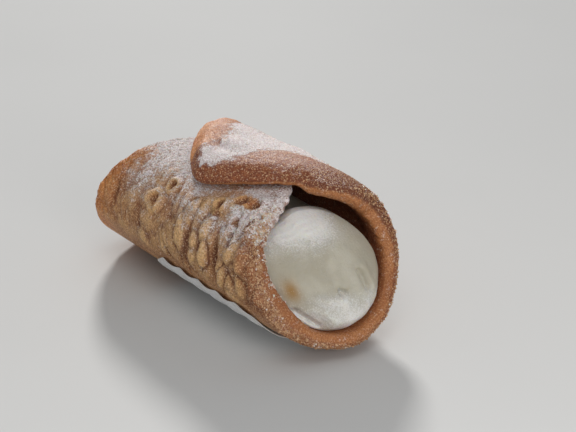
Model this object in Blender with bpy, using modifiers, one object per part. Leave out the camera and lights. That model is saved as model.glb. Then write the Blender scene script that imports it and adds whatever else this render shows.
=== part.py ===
"""Cannoli: a fried dough disc rolled into a tube and lapped on top, filled with cream, in a pleated paper case.

The tube lies along X with its nearer mouth towards +X. Z is up and the case's flat base is at z = 0.
"""
import math
import random

import bmesh
import bpy
import numpy as np

# Sizes below are in millimetres, and MM turns them into metres
MM = 0.001

# Rolled dough disc
TUBE_R = 16.0        # outside radius of the tube across Y
OVAL = 0.81          # height of the tube over its width
WALL = 3.2           # dough thickness
REACH_OUT = 58.4     # from the disc's middle to the free end of the outer flap
REACH_IN = 64.0      # from the disc's middle to the hidden end under the flap
MOUTH_NEAR = 39.8    # from the disc's middle to the lip at +X
MOUTH_FAR = 31.0     # from the disc's middle to the lip at -X
CURVE_OUT = 1.43     # how full the disc's outline is on the flap side
CURVE_IN = 1.55      # how full it is on the hidden side
LEAN = 5.5           # the flap's end leans towards the nearer mouth
FULL_NEAR = 0.365    # extra width of the flap's end towards the nearer mouth
FULL_FAR = 0.19      # and towards the farther one
FULL_TIP = 0.20      # extra width of the inner layer's tip at the nearer mouth
LAP_RISE = 3.5       # how far the outer layer stands off the tube
LAP_ANGLE = 1.55     # angle from the bottom where it lifts off, in radians
LAP_WIDTH = 0.23     # angle over which it lifts off
FLAP_PUFF = 1.3      # extra thickness of the flap's rounded edge
FLAP_ROUND = 5.4     # width of the rounded shoulder along the flap's edge
RIM_ROUND = 1.2      # width of the rounding along the two mouths
RIM_SWELL = 1.4      # extra thickness of the nearer lip low on the -Y side
FLAP_DROOP = 1.7     # extra thickness of the flap where it arches over the nearer mouth
SINK = 0.35          # how far the inner layer gives way under the flap
TURN = math.radians(6.2)
TILT = math.radians(0.6)
AXIS_Z = 14.0        # height of the tube's axis over the base

# Cream filling
CREAM_GAP = 0.4
CREAM_SAG = 2.1      # how far its top has sunk away from the flap
CREAM_NEAR = 29.6
CREAM_FAR = 19.5
CREAM_SLOPE_NEAR = 6.6
CREAM_SLOPE_FAR = 6.0
CREAM_DOME_NEAR = 4.1
CREAM_DOME_FAR = 3.0

# Paper case
PAPER = 0.25
PLEATS = 20
PLEAT_DEPTH = 0.3
CASE_CLEAR = 0.72    # from the tube to the paper's outer face
CASE_MID_X = 12.8    # middle of the case along the tube
CASE_BASE_X = 16.8   # half length of its flat base
CASE_BASE_Y = 5.4    # half width of its flat base
CASE_TOP_X = 19.0    # half length along its top edge
CASE_FULL = 0.5      # how square its ends are
CASE_FAR = 0.15      # wall height at the end under the shell
CASE_NEAR = 0.9      # wall height under the nearer lip
CASE_LEFT = 9.3      # wall height on the -Y side
CASE_RIGHT = 7.8     # wall height on the +Y side

# Shift that puts the middle of the whole object over the origin
SHIFT_X = -4.539
SHIFT_Y = -0.719

# Blisters and folds of the fried surface, as places on the unrolled disc:
# (along the roll, along the tube, half length, half width, slant in degrees, height)
LOBES = (
    (-33.0, 23.4, 3.4, 1.5, 8, 0.75),
    (-33.4, 26.6, 3.6, 1.6, 8, 0.75),
    (-34.6, 14.4, 3.6, 1.3, 6, 0.60),
    (-29.0, 15.9, 3.0, 1.3, 4, 0.55),
    (-29.6, 12.2, 3.6, 1.4, 10, 0.55),
    (-27.0, 21.4, 3.4, 1.7, 0, 0.45),
    (-31.0, 7.2, 4.2, 1.8, 12, 0.40),
    (-27.4, 2.4, 3.6, 1.6, 10, 0.35),
    (-24.0, -5.4, 4.4, 2.0, 14, 0.40),
    (-38.5, 8.5, 2.6, 1.8, 0, 0.35),
    (-22.0, 24.6, 2.8, 2.2, 0, 0.50),
    (-38.6, 25.6, 2.8, 1.5, 20, 0.45),
    (49.0, 4.6, 1.5, 4.0, 0, 0.45),
    (53.2, 0.6, 2.2, 3.0, 0, 0.40),
    (46.0, -2.6, 2.4, 3.2, 0, 0.40),
    (38.0, 8.0, 4.0, 3.0, 0, 0.35),
    (22.0, -12.0, 4.4, 2.4, -8, 0.45),
    (30.0, -4.0, 5.0, 2.2, 6, 0.40),
    (20.0, 12.0, 4.0, 2.6, 0, 0.40),
    (34.0, 16.0, 3.4, 2.2, 0, 0.35),
)
GROOVES = (
    (-29.6, 18.6, 4.4, 0.9, 4, 0.85),
    (-36.8, 21.2, 3.6, 0.9, 22, 0.70),
    (-31.0, 10.2, 3.6, 1.0, 10, 0.45),
    (-29.0, -7.6, 3.4, 1.2, 12, 0.40),
    (-31.2, -17.4, 4.4, 1.0, 0, 0.40),
    (-22.6, 30.0, 1.6, 2.6, 0, 0.55),
    (51.4, 3.4, 0.9, 3.4, 0, 0.50),
    (25.0, -8.0, 4.4, 1.1, 4, 0.45),
    (27.0, 4.0, 4.6, 1.0, 0, 0.40),
)
# Burst blisters: a raised ring round a hollow, as (along the roll, along the tube, radius, height)
CRATERS = (
    (-39.3, -1.4, 1.25, 0.55),
    (-34.6, -4.2, 1.75, 0.60),
    (-40.6, 13.8, 1.25, 0.55),
    (-43.4, 17.4, 1.45, 0.45),
    (-44.0, 21.0, 1.35, 0.45),
)

# Facets over the disc, along the roll on each side of its middle and along the tube
CELLS_IN = 32
CELLS_OUT = 24
CELLS_TUBE = 30


def waves(seed, count, shortest, longest):
    """Seeded directions, wave numbers and phases for an uneven surface."""
    rng = random.Random(seed)
    rows = []
    for _ in range(count):
        length = shortest * (longest / shortest) ** rng.random()
        angle = rng.uniform(0.0, math.pi)
        rows.append((math.cos(angle) * math.tau / length, math.sin(angle) * math.tau / length,
                     rng.uniform(0.0, math.tau), length / longest))
    return rows


def uneven(a, b, rows):
    total = 0.0
    for ka, kb, phase, weight in rows:
        total = total + weight * np.sin(ka * a + kb * b + phase)
    return total / math.sqrt(len(rows))


SWELL = waves(3, 16, 7.0, 22.0)
RAGGED = waves(8, 12, 2.6, 9.0)


def smooth(t):
    t = np.clip(t, 0.0, 1.0)
    return t * t * (3.0 - 2.0 * t)


def disc(x, y):
    """A square of -1..1 both ways becomes the disc, in millimetres along the roll, along the tube and to its edge."""
    m = np.maximum(np.abs(x), np.abs(y))
    safe = np.where(m < 1e-9, 1.0, m)
    q = np.where(x > 0, CURVE_OUT, CURVE_IN)
    a = np.where(x > 0, REACH_OUT, REACH_IN)
    b = np.where(y > 0, MOUTH_NEAR, MOUTH_FAR)
    g = 1.0 / (1e-9 + (np.abs(x) / safe) ** q + (np.abs(y) / safe) ** q) ** (1.0 / q)
    s = x * g * a
    v = y * g * b
    f = (np.abs(s) / a) ** q + (np.abs(v) / b) ** q + 1e-9
    slope = f ** (1.0 / q - 1.0)
    ds = (np.abs(s) / a) ** (q - 1.0) / a * slope
    dv = (np.abs(v) / b) ** (q - 1.0) / b * slope
    d = (1.0 - m) / np.hypot(ds, dv)
    return s, v * fullness(s, v) + lean(s), d


def lean(s):
    return LEAN * np.clip(s / REACH_OUT, 0.0, 1.0) ** 3


def fullness(s, v):
    flap = np.where(v > 0, FULL_NEAR, FULL_FAR) * smooth((s - 30.0) / 16.0)
    tip = FULL_TIP * (v > 0) * smooth((-s - 36.0) / 16.0)
    return 1.0 + flap + tip


def flap_reach(v):
    """How far the outer flap reaches along the roll at a place along the tube."""
    v = v - LEAN
    b = np.where(v > 0, MOUTH_NEAR * (1.0 + FULL_NEAR), MOUTH_FAR * (1.0 + FULL_FAR))
    t = np.clip(np.abs(v / b), 0.0, 1.0)
    return REACH_OUT * (1.0 - t ** CURVE_OUT) ** (1.0 / CURVE_OUT)


def inner_reach(v):
    """How far the inner layer reaches the other way."""
    b = np.where(v > 0, MOUTH_NEAR * (1.0 + FULL_TIP), MOUTH_FAR)
    t = np.clip(np.abs(v / b), 0.0, 1.0)
    return REACH_IN * (1.0 - t ** CURVE_IN) ** (1.0 / CURVE_IN)


def open_to_view(s, v):
    """0 where the flap lies over the inner layer, 1 a few millimetres clear of it."""
    clear = s + math.tau * TUBE_R - flap_reach(v)
    return smooth(clear / 4.0)


def humps(s, v, table):
    total = 0.0
    for s0, v0, half_s, half_v, slant, height in table:
        c, sn = math.cos(math.radians(slant)), math.sin(math.radians(slant))
        ds, dv = s - s0, v - v0
        along = (ds * c + dv * sn) / half_s
        across = (dv * c - ds * sn) / half_v
        total = total + height * np.exp(-(along ** 2 + across ** 2) ** 1.3)
    return total


def craters(s, v):
    total = 0.0
    for s0, v0, radius, height in CRATERS:
        d = np.hypot((s - s0) * 0.85, v - v0) / radius
        total = total + height * (np.exp(-((d - 0.95) / 0.42) ** 2) - 1.3 * np.exp(-(d / 0.55) ** 2))
    return total


def relief(s, v, d):
    """Height of the fried surface over a plain tube."""
    under_case = smooth((np.abs(s + 1.5) - 18.9) / 5.0)
    folds = humps(s, v, LOBES) - humps(s, v, GROOVES)
    skin = 0.18 * uneven(s * 0.6, v, SWELL) + 1.35 * folds + craters(s, v)
    return skin * under_case * open_to_view(s, v) * smooth(d / 2.5)


def on_flap(s):
    return smooth((s - 34.0) / 10.0)


def swell(s, v):
    """Extra thickness of the nearer lip, taken from the bore."""
    return RIM_SWELL * np.exp(-((s + 22.0) / 10.0) ** 2) * smooth((v - 26.0) / 6.0)


def droop(s, v, d):
    """Extra thickness under the flap over the nearer mouth, where no inner layer lies under it."""
    free = smooth((math.tau * TUBE_R - inner_reach(v) - s - 1.5) / 4.0)
    return FLAP_DROOP * smooth((s - 18.0) / 20.0) * free * smooth((8.0 - d) / 5.0) * (v > 8.0)


def place(s, v, h):
    """Roll the disc up: h is the height over the bare inner face of the tube."""
    th = s / TUBE_R
    lift = LAP_RISE / (1.0 + np.exp(-(th - LAP_ANGLE) / LAP_WIDTH))
    u = np.clip(v / MOUTH_NEAR, 0.0, 1.0)
    r = TUBE_R - WALL + lift + h - 1.0 * u ** 5 - 0.9 * u ** 2 * np.clip(np.sin(th), 0.0, 1.0)
    y = r * np.sin(th + TURN)
    z = -r * np.cos(th + TURN) * OVAL
    c, sn = math.cos(TILT), math.sin(TILT)
    return np.stack([v * c - z * sn + SHIFT_X, y + SHIFT_Y, AXIS_Z + v * sn + z * c], -1)


def dough(x, y, outer):
    """A point of the flat grid becomes a point on the shell's outer or inner face."""
    s, v, d = disc(x, y)
    flap = on_flap(s)
    thick = WALL + FLAP_PUFF * flap * smooth(d / 3.0)
    low = -swell(s, v) - droop(s, v, d)
    rounding = RIM_ROUND + (FLAP_ROUND - RIM_ROUND) * flap
    if outer:
        t = np.clip(d / rounding, 0.0, 1.0)
    else:
        t = np.clip(d / (RIM_ROUND + 1.2 * flap), 0.0, 1.0)
    part = 0.30 + 0.70 * np.sqrt(np.clip(1.0 - (1.0 - t) ** 2, 0.0, 1.0))
    ragged = 0.30 * uneven(s, v * 0.3, RAGGED) * np.exp(-d / 1.6)
    middle = (WALL + low) * 0.5
    if outer:
        sink = SINK * (1.0 - open_to_view(s, v)) * (s < 0)
        h = middle + (thick - middle) * part + relief(s, v, d) - sink
    else:
        h = middle - (middle - low) * part
    return place(s, v + ragged * np.sign(v), h)


def spread(t, cells_low, cells_high):
    """Even steps over a grid line become finer at its two ends and on its low side."""
    low = cells_low / (cells_low + cells_high)
    k = (t + 1.0) * 0.5
    k = np.where(k < low, -1.0 + k / low, (k - low) / (1.0 - low))
    return np.sign(k) * (1.0 - (1.0 - np.abs(k)) * (0.45 + 0.55 * np.clip(np.abs(k) * -1.0 + 1.0, 0, 0.12) / 0.12))


def new_collection(name):
    coll = bpy.data.collections.new(name)
    bpy.context.scene.collection.children.link(coll)
    return coll


def material(name, colour, roughness):
    mat = bpy.data.materials.new(name)
    mat.use_nodes = True
    shader = mat.node_tree.nodes["Principled BSDF"]
    shader.inputs["Base Color"].default_value = (*colour, 1.0)
    shader.inputs["Roughness"].default_value = roughness
    shader.inputs["Metallic"].default_value = 0.0
    return mat


def add_object(bm, name, mat, coll, angle=40.0):
    mesh = bpy.data.meshes.new(name)
    bm.to_mesh(mesh)
    bm.free()
    mesh.shade_smooth()
    mesh.set_sharp_from_angle(angle=math.radians(angle))
    mesh.materials.append(mat)
    obj = bpy.data.objects.new(name, mesh)
    coll.objects.link(obj)
    return obj


def flat_face(bm):
    """One face of the dough as a flat square grid, finer along its border and round the burst blisters."""
    made = bmesh.ops.create_grid(bm, x_segments=CELLS_IN + CELLS_OUT, y_segments=CELLS_TUBE, size=1.0)
    verts = made["verts"]
    xy = np.array([v.co[:2] for v in verts])
    x = spread(xy[:, 0], CELLS_IN, CELLS_OUT)
    y = spread(xy[:, 1], CELLS_TUBE // 2, CELLS_TUBE // 2)
    for vert, a, b in zip(verts, x, y):
        vert.co.x = a
        vert.co.y = b
    return verts


def refine(bm):
    """Split the grid's cells round each burst blister."""
    verts = list(bm.verts)
    xy = np.array([v.co[:2] for v in verts])
    s, v, _ = disc(xy[:, 0], xy[:, 1])
    close = set()
    for s0, v0, radius, _ in CRATERS:
        near = np.hypot(s - s0, v - v0) < radius + 1.6
        close.update(verts[i] for i in np.nonzero(near)[0])
    edges = [e for e in bm.edges if e.verts[0] in close and e.verts[1] in close]
    bmesh.ops.subdivide_edges(bm, edges=edges, cuts=2, use_grid_fill=True)
    return list(bm.verts)


def roll_face(verts, outer):
    xy = np.array([v.co[:2] for v in verts])
    points = dough(xy[:, 0], xy[:, 1], outer)
    for vert, p in zip(verts, points):
        vert.co = p * MM


def make_shell(coll):
    bm = bmesh.new()
    flat_face(bm)
    roll_face(refine(bm), True)
    inner = flat_face(bm)
    roll_face(inner, False)
    border = [e for e in bm.edges if e.is_boundary]
    bmesh.ops.bridge_loops(bm, edges=border)
    bmesh.ops.triangulate(bm, faces=bm.faces)
    bmesh.ops.recalc_face_normals(bm, faces=bm.faces)
    return add_object(bm, "shell", material("fried_dough", (0.42, 0.20, 0.07), 0.62), coll, 60.0)


def cream_front(y, z):
    """Folds on the nearer cream face: a turned lip low on the left, a dimple over it and a shallow dent."""
    lip = 0.9 * np.exp(-((y + 7.6 - 0.25 * (z + 7.0)) / 2.6) ** 2 - ((z + 8.2 - 0.25 * y) / 1.5) ** 2)
    crease = -0.7 * np.exp(-((y + 5.0) / 4.2) ** 2 - ((z + 5.4 + 0.28 * (y + 5.0)) / 0.9) ** 2)
    dimple = -0.6 * np.exp(-((y + 0.4) / 2.6) ** 2 - ((z + 4.6) / 1.4) ** 2)
    dent = -0.35 * np.exp(-((y - 6.0) / 1.5) ** 2 - ((z + 2.0) / 2.6) ** 2)
    return lip + crease + dimple + dent


def make_cream(coll):
    bm = bmesh.new()
    bmesh.ops.create_uvsphere(bm, u_segments=32, v_segments=24, radius=1.0)
    co = np.array([v.co[:] for v in bm.verts])
    polar = np.arccos(np.clip(co[:, 2], -1.0, 1.0)) / math.pi
    turn = np.arctan2(co[:, 1], co[:, 0])
    face = 0.36
    t_near = np.clip(polar / face, 0.0, 1.0)
    t_far = np.clip((1.0 - polar) / face, 0.0, 1.0)
    body = np.clip((polar - face) / (1.0 - 2.0 * face), 0.0, 1.0)
    share = np.minimum(np.sin(t_near * math.pi / 2.0), np.sin(t_far * math.pi / 2.0))
    up = np.cos(turn)
    near = CREAM_NEAR + CREAM_SLOPE_NEAR * share * up + CREAM_DOME_NEAR * (1.0 - share ** 3.2)
    far = CREAM_FAR + CREAM_SLOPE_FAR * share * up + CREAM_DOME_FAR * (1.0 - share ** 2.4)
    along = near * (1.0 - body) - far * body
    u = np.clip(along / MOUTH_NEAR, 0.0, 1.0)
    radius = TUBE_R - WALL - CREAM_GAP - 1.0 * u ** 5 - 0.9 * u ** 2 * np.clip(np.sin(turn), 0.0, 1.0)
    radius = radius - 0.9 * u * np.exp(-((turn - 2.05) / 0.45) ** 2)
    radius = radius - swell(np.where(turn > math.pi * 0.5, turn - math.tau, turn) * TUBE_R, along + 1.0)
    r = radius * share
    y = r * np.sin(turn + TURN)
    z = -r * np.cos(turn + TURN) * OVAL
    sag = CREAM_SAG + 1.5 * smooth(-y / 4.0) + 2.8 * smooth((22.0 - along) / 6.0) * smooth((along + 16.0) / 6.0)
    z = z - sag * smooth(z / (TUBE_R * OVAL)) * smooth((y + 15.0) / 6.0)
    along = along + cream_front(y, z) * (1.0 - body) * (polar <= face) * smooth((1.0 - share) / 0.12)
    c, sn = math.cos(TILT), math.sin(TILT)
    points = np.stack([along * c - z * sn + SHIFT_X, y + SHIFT_Y, AXIS_Z + along * sn + z * c], -1)
    for vert, p in zip(bm.verts, points):
        vert.co = p * MM
    bmesh.ops.triangulate(bm, faces=bm.faces)
    bmesh.ops.recalc_face_normals(bm, faces=bm.faces)
    return add_object(bm, "cream", material("cream", (0.62, 0.58, 0.47), 0.5), coll, 60.0)


def hug(x, z, right):
    """Half width of the tube plus clearance, at a height over the base."""
    narrow = 1.0 * np.clip(x / MOUTH_NEAR, 0.0, 1.0) ** 5
    radius = TUBE_R + CASE_CLEAR + 0.3 * right * smooth(z / 8.0) - narrow
    c = (AXIS_Z + x * math.sin(TILT) - z) / (radius * OVAL)
    return radius * np.sqrt(1.0 - np.clip(c, 0.0, 1.0) ** 2)


def case_angles(count):
    """Angles that are evenly spaced along the case's edge."""
    phi = np.linspace(-math.pi, math.pi, 40001)
    c, sn = np.cos(phi), np.sin(phi)
    x = CASE_TOP_X * np.sign(c) * np.abs(c) ** CASE_FULL
    y = TUBE_R * np.sign(sn) * np.abs(sn) ** CASE_FULL
    run = np.concatenate([[0.0], np.cumsum(np.hypot(np.diff(x), np.diff(y)))])
    return np.interp(np.arange(count) / count * run[-1], run, phi)


def case_edge(phi, pleat, k):
    """A point of the case's wall: phi goes round it, k goes from the base's edge at 0 to the top edge at 1."""
    c, sn = np.cos(phi), np.sin(phi)
    side = np.abs(sn) ** CASE_FULL
    end = np.sign(c) * np.abs(c) ** CASE_FULL
    right = smooth((sn + 0.1) / 0.2)
    low = CASE_FAR + (CASE_NEAR - CASE_FAR) * smooth((c + 0.3) / 0.6)
    high = CASE_LEFT + (CASE_RIGHT - CASE_LEFT) * right
    z = (low + (high - low) * smooth((side - 0.5) / 0.45) + 0.3 * side * np.cos(pleat)) * k
    x = (CASE_BASE_X + (CASE_TOP_X - CASE_BASE_X) * k) * end + CASE_MID_X
    y = (CASE_BASE_Y + 1.2 * k) * side
    y = np.maximum(y, hug(x, z, right) * smooth((side - 0.25) / 0.35))
    ripple = PLEAT_DEPTH * k * np.sin(pleat)
    return np.stack([x + ripple * c, np.sign(sn) * y + ripple * sn, z - ripple * 0.4 * np.abs(sn)], -1)


def make_case(coll):
    bm = bmesh.new()
    count = PLEATS * 4
    rows = (0.0, 0.3, 0.62, 1.0)
    made = bmesh.ops.create_circle(bm, cap_ends=True, segments=count, radius=1.0)
    ring = sorted(made["verts"], key=lambda v: math.atan2(v.co.y, v.co.x))
    phi = case_angles(count)
    pleat = PLEATS * math.tau * np.arange(count) / count
    bm.faces.ensure_lookup_table()
    edges = list(bm.faces[0].edges)
    rings = [ring]
    for _ in rows[1:]:
        grown = bmesh.ops.extrude_edge_only(bm, edges=edges)["geom"]
        edges = [g for g in grown if isinstance(g, bmesh.types.BMEdge)]
        fresh = [g for g in grown if isinstance(g, bmesh.types.BMVert)]
        edges = [e for e in edges if e.verts[0] in fresh and e.verts[1] in fresh]
        rings.append(sorted(fresh, key=lambda v: math.atan2(v.co.y, v.co.x)))
    for k, verts in zip(rows, rings):
        points = case_edge(phi, pleat, k)
        for vert, p in zip(verts, points):
            vert.co = (p + np.array([SHIFT_X, SHIFT_Y, 0.0])) * MM
    bmesh.ops.recalc_face_normals(bm, faces=bm.faces)
    base = max(bm.faces, key=lambda f: len(f.verts))
    if base.normal.z > 0:
        bmesh.ops.reverse_faces(bm, faces=bm.faces)
    case = add_object(bm, "paper_case", material("paper", (0.72, 0.72, 0.71), 0.7), coll, 50.0)
    wall = case.modifiers.new("thickness", "SOLIDIFY")
    wall.thickness = PAPER * MM
    wall.offset = -1.0
    wall.use_even_offset = True
    return case


def main():
    for obj in list(bpy.data.objects):
        bpy.data.objects.remove(obj, do_unlink=True)
    coll = new_collection("cannoli")
    make_shell(coll)
    make_cream(coll)
    make_case(coll)


main()
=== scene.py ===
"""Looks of the cannoli: a blistered shell dusted with sugar, a cream filling and a pleated paper case."""
import math
import random

import bpy
import numpy as np
from mathutils import Matrix, Vector


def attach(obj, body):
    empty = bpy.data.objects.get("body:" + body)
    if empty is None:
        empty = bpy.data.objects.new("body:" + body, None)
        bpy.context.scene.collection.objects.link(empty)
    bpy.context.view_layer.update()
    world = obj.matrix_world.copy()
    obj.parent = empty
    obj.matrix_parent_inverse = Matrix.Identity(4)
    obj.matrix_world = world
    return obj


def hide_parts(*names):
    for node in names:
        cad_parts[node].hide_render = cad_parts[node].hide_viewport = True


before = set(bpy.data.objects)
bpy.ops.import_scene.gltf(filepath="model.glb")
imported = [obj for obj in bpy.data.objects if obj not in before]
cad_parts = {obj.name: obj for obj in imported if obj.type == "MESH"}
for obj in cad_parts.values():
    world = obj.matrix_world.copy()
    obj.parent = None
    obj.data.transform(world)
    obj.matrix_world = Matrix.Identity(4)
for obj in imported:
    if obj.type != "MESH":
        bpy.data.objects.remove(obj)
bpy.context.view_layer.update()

# Sizes are in millimetres, and MM turns them into metres
MM = 0.001

# Rolled dough disc, as in the part. A place on it is s along the roll, 0 at the bottom and positive
# towards the flap, v along the tube, positive towards the near mouth, and d from the disc's edge
TUBE_R = 16.0
OVAL = 0.81
WALL = 3.2
REACH_OUT = 58.4
REACH_IN = 64.0
MOUTH_NEAR = 39.8
MOUTH_FAR = 31.0
CURVE_OUT = 1.43
CURVE_IN = 1.55
LEAN = 5.5
FULL_NEAR = 0.365
FULL_FAR = 0.19
FULL_TIP = 0.20
FULL_LENGTH = 16.0
FLAP_FULL_FROM = 30.0
TIP_FULL_FROM = -36.0
LAP_RISE = 3.5
LAP_ANGLE = 1.55
LAP_WIDTH = 0.23
FLAP_FROM = 34.0
FLAP_LENGTH = 10.0
FLAP_PUFF = 1.3
FLAP_ROUND = 5.4
FLAP_DROOP = 1.7
RIM_ROUND = 1.2
RIM_SWELL = 1.4
EDGE_LEFT = 0.14
MOUTH_NARROW = 1.0
SIDE_NARROW = 0.9
SINK = 0.35
TURN = math.radians(6.2)
TILT = math.radians(0.6)
AXIS_Z = 14.0

# Cream filling
CREAM_CLEAR = 0.12
CREAM_NEAR = 29.6
CREAM_FAR = 19.5
CREAM_SLOPE_NEAR = 6.6
CREAM_SLOPE_FAR = 6.0
CREAM_DOME_NEAR = 4.1
CREAM_DOME_FAR = 3.0
CREAM_SAG = 1.5
CREAM_SAG_LEFT = 0.9
CREAM_SAG_MIDDLE = 2.8
CREAM_PINCH = 0.9
CREAM_AROUND = 256
CREAM_RINGS = 180
# Share of the rings that makes each end face
CREAM_FACE = 0.36

# Paper case
PAPER_INSET = 0.14
PLEATS = 20
PLEAT_DEPTH = 0.2
PLEAT_POINTS = 16
CASE_ROWS = 15
CASE_CLEAR = 0.5
CASE_MID_X = 12.8
CASE_BASE_X = 16.8
CASE_BASE_Y = 5.4
CASE_FLARE_Y = 1.2
CASE_TOP_X = 19.0
CASE_FULL = 0.5
CASE_FAR = 0.15
CASE_NEAR = 0.9
CASE_LEFT = 9.3
CASE_RIGHT = 7.8
CASE_FOLD = math.radians(50.0)
# The shell stands in the case on this stretch of the roll
CASE_MID_S = -1.5
CASE_HALF_S = 18.9

# Move from the tube's own coordinates into the part's frame
SHIFT_X = -4.539
SHIFT_Y = -0.719

# Large blisters: (along the roll, along the tube, half length, half width, slant in degrees, height)
LOBES = (
    (-33.0, 23.4, 3.4, 1.5, 8, 0.75),
    (-33.4, 26.6, 3.6, 1.6, 8, 0.75),
    (-34.6, 14.4, 3.6, 1.3, 6, 0.60),
    (-29.0, 15.9, 3.0, 1.3, 4, 0.55),
    (-29.6, 12.2, 3.6, 1.4, 10, 0.55),
    (-27.0, 21.4, 3.4, 1.7, 0, 0.45),
    (-31.0, 7.2, 4.2, 1.8, 12, 0.40),
    (-27.4, 2.4, 3.6, 1.6, 10, 0.35),
    (-24.0, -5.4, 4.4, 2.0, 14, 0.40),
    (-38.5, 8.5, 2.6, 1.8, 0, 0.35),
    (-22.0, 24.6, 2.8, 2.2, 0, 0.50),
    (-38.6, 25.6, 2.8, 1.5, 20, 0.45),
    (49.0, 4.6, 1.5, 4.0, 0, 0.45),
    (53.2, 0.6, 2.2, 3.0, 0, 0.40),
    (46.0, -2.6, 2.4, 3.2, 0, 0.40),
    (38.0, 8.0, 4.0, 3.0, 0, 0.35),
    (22.0, -12.0, 4.4, 2.4, -8, 0.45),
    (30.0, -4.0, 5.0, 2.2, 6, 0.40),
    (20.0, 12.0, 4.0, 2.6, 0, 0.40),
    (34.0, 16.0, 3.4, 2.2, 0, 0.35),
)
# Deep folds between them, in the same terms
GROOVES = (
    (-29.6, 18.6, 4.4, 0.9, 4, 0.85),
    (-36.8, 21.2, 3.6, 0.9, 22, 0.70),
    (-31.0, 10.2, 3.6, 1.0, 10, 0.45),
    (-29.0, -7.6, 3.4, 1.2, 12, 0.40),
    (-31.2, -17.4, 4.4, 1.0, 0, 0.40),
    (-43.8, 19.0, 0.9, 3.0, -8, 0.45),
    (-22.6, 30.0, 1.6, 2.6, 0, 0.55),
    (51.4, 3.4, 0.9, 3.4, 0, 0.50),
    (25.0, -8.0, 4.4, 1.1, 4, 0.45),
    (27.0, 4.0, 4.6, 1.0, 0, 0.40),
)
# Burst blisters: (along the roll, along the tube, radius, height of the ring, depth of the hollow)
CRATERS = (
    (-39.3, -1.4, 1.25, 0.55, 0.85),
    (-34.6, -4.2, 1.75, 0.60, 0.40),
    (-40.6, 13.8, 1.30, 0.65, 0.90),
    (-43.2, 17.2, 1.60, 0.45, 0.60),
    (-43.9, 20.9, 1.75, 0.45, 0.42),
)
CRATER_BEND = 0.12
CRATER_FLAT = 0.85
RING_WIDTH = 0.32
HOLLOW_WIDTH = 0.62
HOLLOW_SHARP = 1.4

# Bare golden hollow near the tip, and a rippled patch on the flap, as rows of the blisters' table
GOLDEN_PIT = ((-43.7, 19.2, 1.3, 3.2, -8, 1.0),)
RIPPLES = ((50.0, 3.0, 3.2, 4.5, 0, 0.22),)

# Thicker sugar by the tip and high on the flank towards the far mouth, also as such rows
SUGAR_SPOTS = (
    (-43.5, 20.5, 4.0, 5.5, 0, 0.42),
    (-48.0, -14.0, 10.0, 13.0, 0, 0.62),
    (-39.0, 21.0, 4.0, 4.5, 0, 0.30),
)

# Sharpness of a blister's flank: 1 is a plain bell, and more is flatter on top
BELL = 1.0
GROOVE_SHARP = 1.3
LOBE_SHARP = 1.4
BLISTER_SHARP = 1.6

# Small seeded blisters: how many, where and how large
BLISTER_COUNT = 420
BLISTER_ROLL = (-50.0, 56.0)
BLISTER_TUBE = (-28.0, 38.0)
BLISTER_SIZE = (0.45, 1.25)

# Heights of the fried surface's relief
SWELL_HEIGHT = 0.18
LOBE_HEIGHT = 1.55
GROOVE_HEIGHT = 1.35
RING_HEIGHT = 1.15
FOLD_HEIGHT = 0.74
FOLD_LEVEL = math.exp(-0.26)
LUMP_HEIGHT = 0.20
LUMP_LEVEL = 0.55
GRAIN_HEIGHT = 0.10
CRUST_HEIGHT = 0.13
CRUST_NEAR = 0.20
CRUST_TIP = 0.16

# Strokes on the cream's near face: (y and z of one end, y and z of the other), half width, height.
# A stroke with a negative height is a dent
TURNED_LIP = (-9.8, -5.5, -6.6, -8.9)
CREAM_SHELF = (-5.2, -3.1, 0.2, -4.2)
CREAM_STROKES = (
    (TURNED_LIP, 1.15, 1.45),
    ((-3.4, -6.4, 1.2, -7.4), 1.3, 0.40),
    ((-5.4, -2.9, -0.6, -3.7), 0.8, 0.50),
    ((6.9, -0.4, 7.2, -3.4), 0.8, 0.60),
    ((3.9, -1.0, 4.2, -2.8), 0.7, 0.28),
    ((-8.7, -4.9, -5.2, -8.0), 0.62, -1.9),
    ((-5.6, -6.0, -4.6, -7.0), 1.0, -0.55),
    ((0.4, -2.9, 1.0, -3.3), 0.60, -1.25),
    ((5.4, -0.8, 5.9, -3.2), 0.60, -1.05),
)
BRUSHED = (-5.5, 6.0, -1.5, 6.5)
BRUSHED_WIDTH = 3.0
BRUSHED_HEIGHT = 0.07

# Orange peel that shows through the cream: y and z of its middle, half width and half height
PEEL = (-8.4, -1.3, 1.25, 1.7)

# Cells over the dough's outer face; the inner face has half as many each way
CELLS_ROLL = 340
CELLS_TUBE = 210
GRAINS_RIM = 4500
GRAINS_FAR_RIM = 1600
GRAINS_DUST = 7000
CRUMBS = 2400

# Small numbers that keep a division in range
TINY = 1e-9
TINIER = 1e-12


def waves(seed, count, shortest, longest):
    """Seeded sine waves of mixed lengths and directions, the long ones stronger."""
    rng = random.Random(seed)
    rows = []
    for _ in range(count):
        length = shortest * (longest / shortest) ** rng.random()
        angle = rng.uniform(0.0, math.pi)
        pace = math.tau / length
        phase = rng.uniform(0.0, math.tau)
        rows.append((math.cos(angle) * pace, math.sin(angle) * pace, phase, length / longest))
    return rows


def uneven(a, b, rows):
    """The waves added up at a place, mostly within -1..1."""
    total = 0.0
    for pace_a, pace_b, phase, weight in rows:
        total = total + weight * np.sin(pace_a * a + pace_b * b + phase)
    return total / math.sqrt(len(rows))


SWELL = waves(3, 16, 7.0, 22.0)
RAGGED = waves(8, 12, 2.6, 9.0)
FOLDS = waves(21, 26, 2.4, 7.0)
LUMPS = waves(34, 34, 1.1, 3.2)
GRAIN = waves(55, 40, 0.55, 1.3)
CRUST = waves(89, 40, 0.6, 2.2)
PATCHES = waves(13, 24, 3.5, 16.0)


def smooth(t):
    """0 below 0, 1 above 1 and a soft rise between."""
    t = np.clip(t, 0.0, 1.0)
    return t * t * (3.0 - 2.0 * t)


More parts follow.
